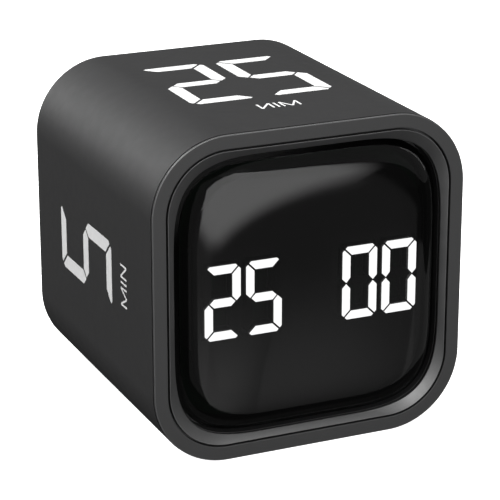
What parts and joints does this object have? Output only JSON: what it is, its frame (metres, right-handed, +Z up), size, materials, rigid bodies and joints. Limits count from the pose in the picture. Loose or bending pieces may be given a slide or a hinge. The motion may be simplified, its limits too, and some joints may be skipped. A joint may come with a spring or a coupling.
{
  "type": "cube kitchen timer",
  "caption": "Cube countdown timer set by turning it: rounded-square sleeve, domed seven-segment display in front, buttons, slide switch and charging port behind.",
  "frame": {"origin": "centre of the bottom face of the sleeve, which the timer rests on", "axes": "+Z up, +Y from the display towards the back cover, +X to the right when the display faces the viewer"},
  "size_m": [0.06, 0.0613, 0.06],
  "materials": {
    "shell": "fine matte, dark grey",
    "frame": "fine matte, dark grey",
    "lens": "polished smoked acrylic",
    "gasket": "dull",
    "mask": "dull black",
    "light_guide": "milky, lit from behind",
    "reflector": "moulded",
    "circuit_board": "solder mask",
    "steel": "plated",
    "black_plastic": "moulded",
    "brass": "bright",
    "battery_foil": "laminated foil",
    "foam": "open cell",
    "white_plastic": "moulded",
    "jacket_red": "smooth",
    "jacket_black": "smooth",
    "button": "fine matte"
  },
  "bodies": {
    "casing": {"housing_sleeve": "shell", "back_cover": "shell", "front_frame": "frame", "inner_bezel_ring": "frame", "display_lens": "lens", "lens_gasket": "gasket", "segment_mask": "mask", "digit_minutes_tens": "light_guide", "digit_minutes_ones": "light_guide", "digit_seconds_tens": "light_guide", "digit_seconds_ones": "light_guide", "digit_block": "reflector", "display_board": "circuit_board", "display_screw_1": "steel", "display_screw_2": "steel", "display_screw_3": "steel", "display_screw_4": "steel", "inner_chassis": "black_plastic", "chassis_screw_1": "steel", "chassis_screw_2": "steel", "battery_cell": "battery_foil", "battery_pad": "foam", "battery_socket": "white_plastic", "battery_plug": "white_plastic", "battery_lead_red": "jacket_red", "battery_lead_black": "jacket_black", "ribbon_cable": "white_plastic", "ribbon_socket_front": "black_plastic", "ribbon_socket_rear": "black_plastic", "main_board": "circuit_board", "board_screw_1": "steel", "board_screw_2": "steel", "microcontroller": "black_plastic", "accelerometer": "black_plastic", "charger_chip": "black_plastic", "vibration_motor_can": "steel", "vibration_motor_bracket": "black_plastic", "buzzer_case": "black_plastic", "buzzer_diaphragm": "brass", "usb_c_shell": "steel", "usb_c_tongue": "black_plastic", "slide_switch_body": "steel", "tact_switch_minutes": "steel", "tact_switch_seconds": "steel", "tact_switch_start": "steel", "cover_screw_1": "steel", "cover_screw_2": "steel", "cover_screw_3": "steel", "cover_screw_4": "steel"},
    "minutes_button": {"button_minutes": "button", "tact_plunger_minutes": "black_plastic"},
    "seconds_button": {"button_seconds": "button", "tact_plunger_seconds": "black_plastic"},
    "start_button": {"button_start": "button", "tact_plunger_start": "black_plastic"},
    "mode_slider": {"slider_knob": "button", "slide_switch_lever": "black_plastic"},
    "motor_rotor": {"vibration_motor_shaft": "steel", "vibration_motor_weight": "brass"}
  },
  "joints": [
    {"name": "minutes_press", "type": "slide", "parent": "casing", "child": "minutes_button", "axis": [0, -1, 0], "range_m": [0, 0.0005], "stiffness_N_per_m": 400, "springref_m": -0.001},
    {"name": "seconds_press", "type": "slide", "parent": "casing", "child": "seconds_button", "axis": [0, -1, 0], "range_m": [0, 0.0005], "stiffness_N_per_m": 400, "springref_m": -0.001},
    {"name": "start_press", "type": "slide", "parent": "casing", "child": "start_button", "axis": [0, -1, 0], "range_m": [0, 0.0005], "stiffness_N_per_m": 400, "springref_m": -0.001},
    {"name": "mode_slide", "type": "slide", "parent": "casing", "child": "mode_slider", "axis": [1, 0, 0], "range_m": [-0.002, 0.002]},
    {"name": "motor_spin", "type": "hinge", "parent": "casing", "child": "motor_rotor", "pos_m": [0.0039, 0.0156, 0.044], "axis": [1, 0, 0], "continuous": true}
  ]
}
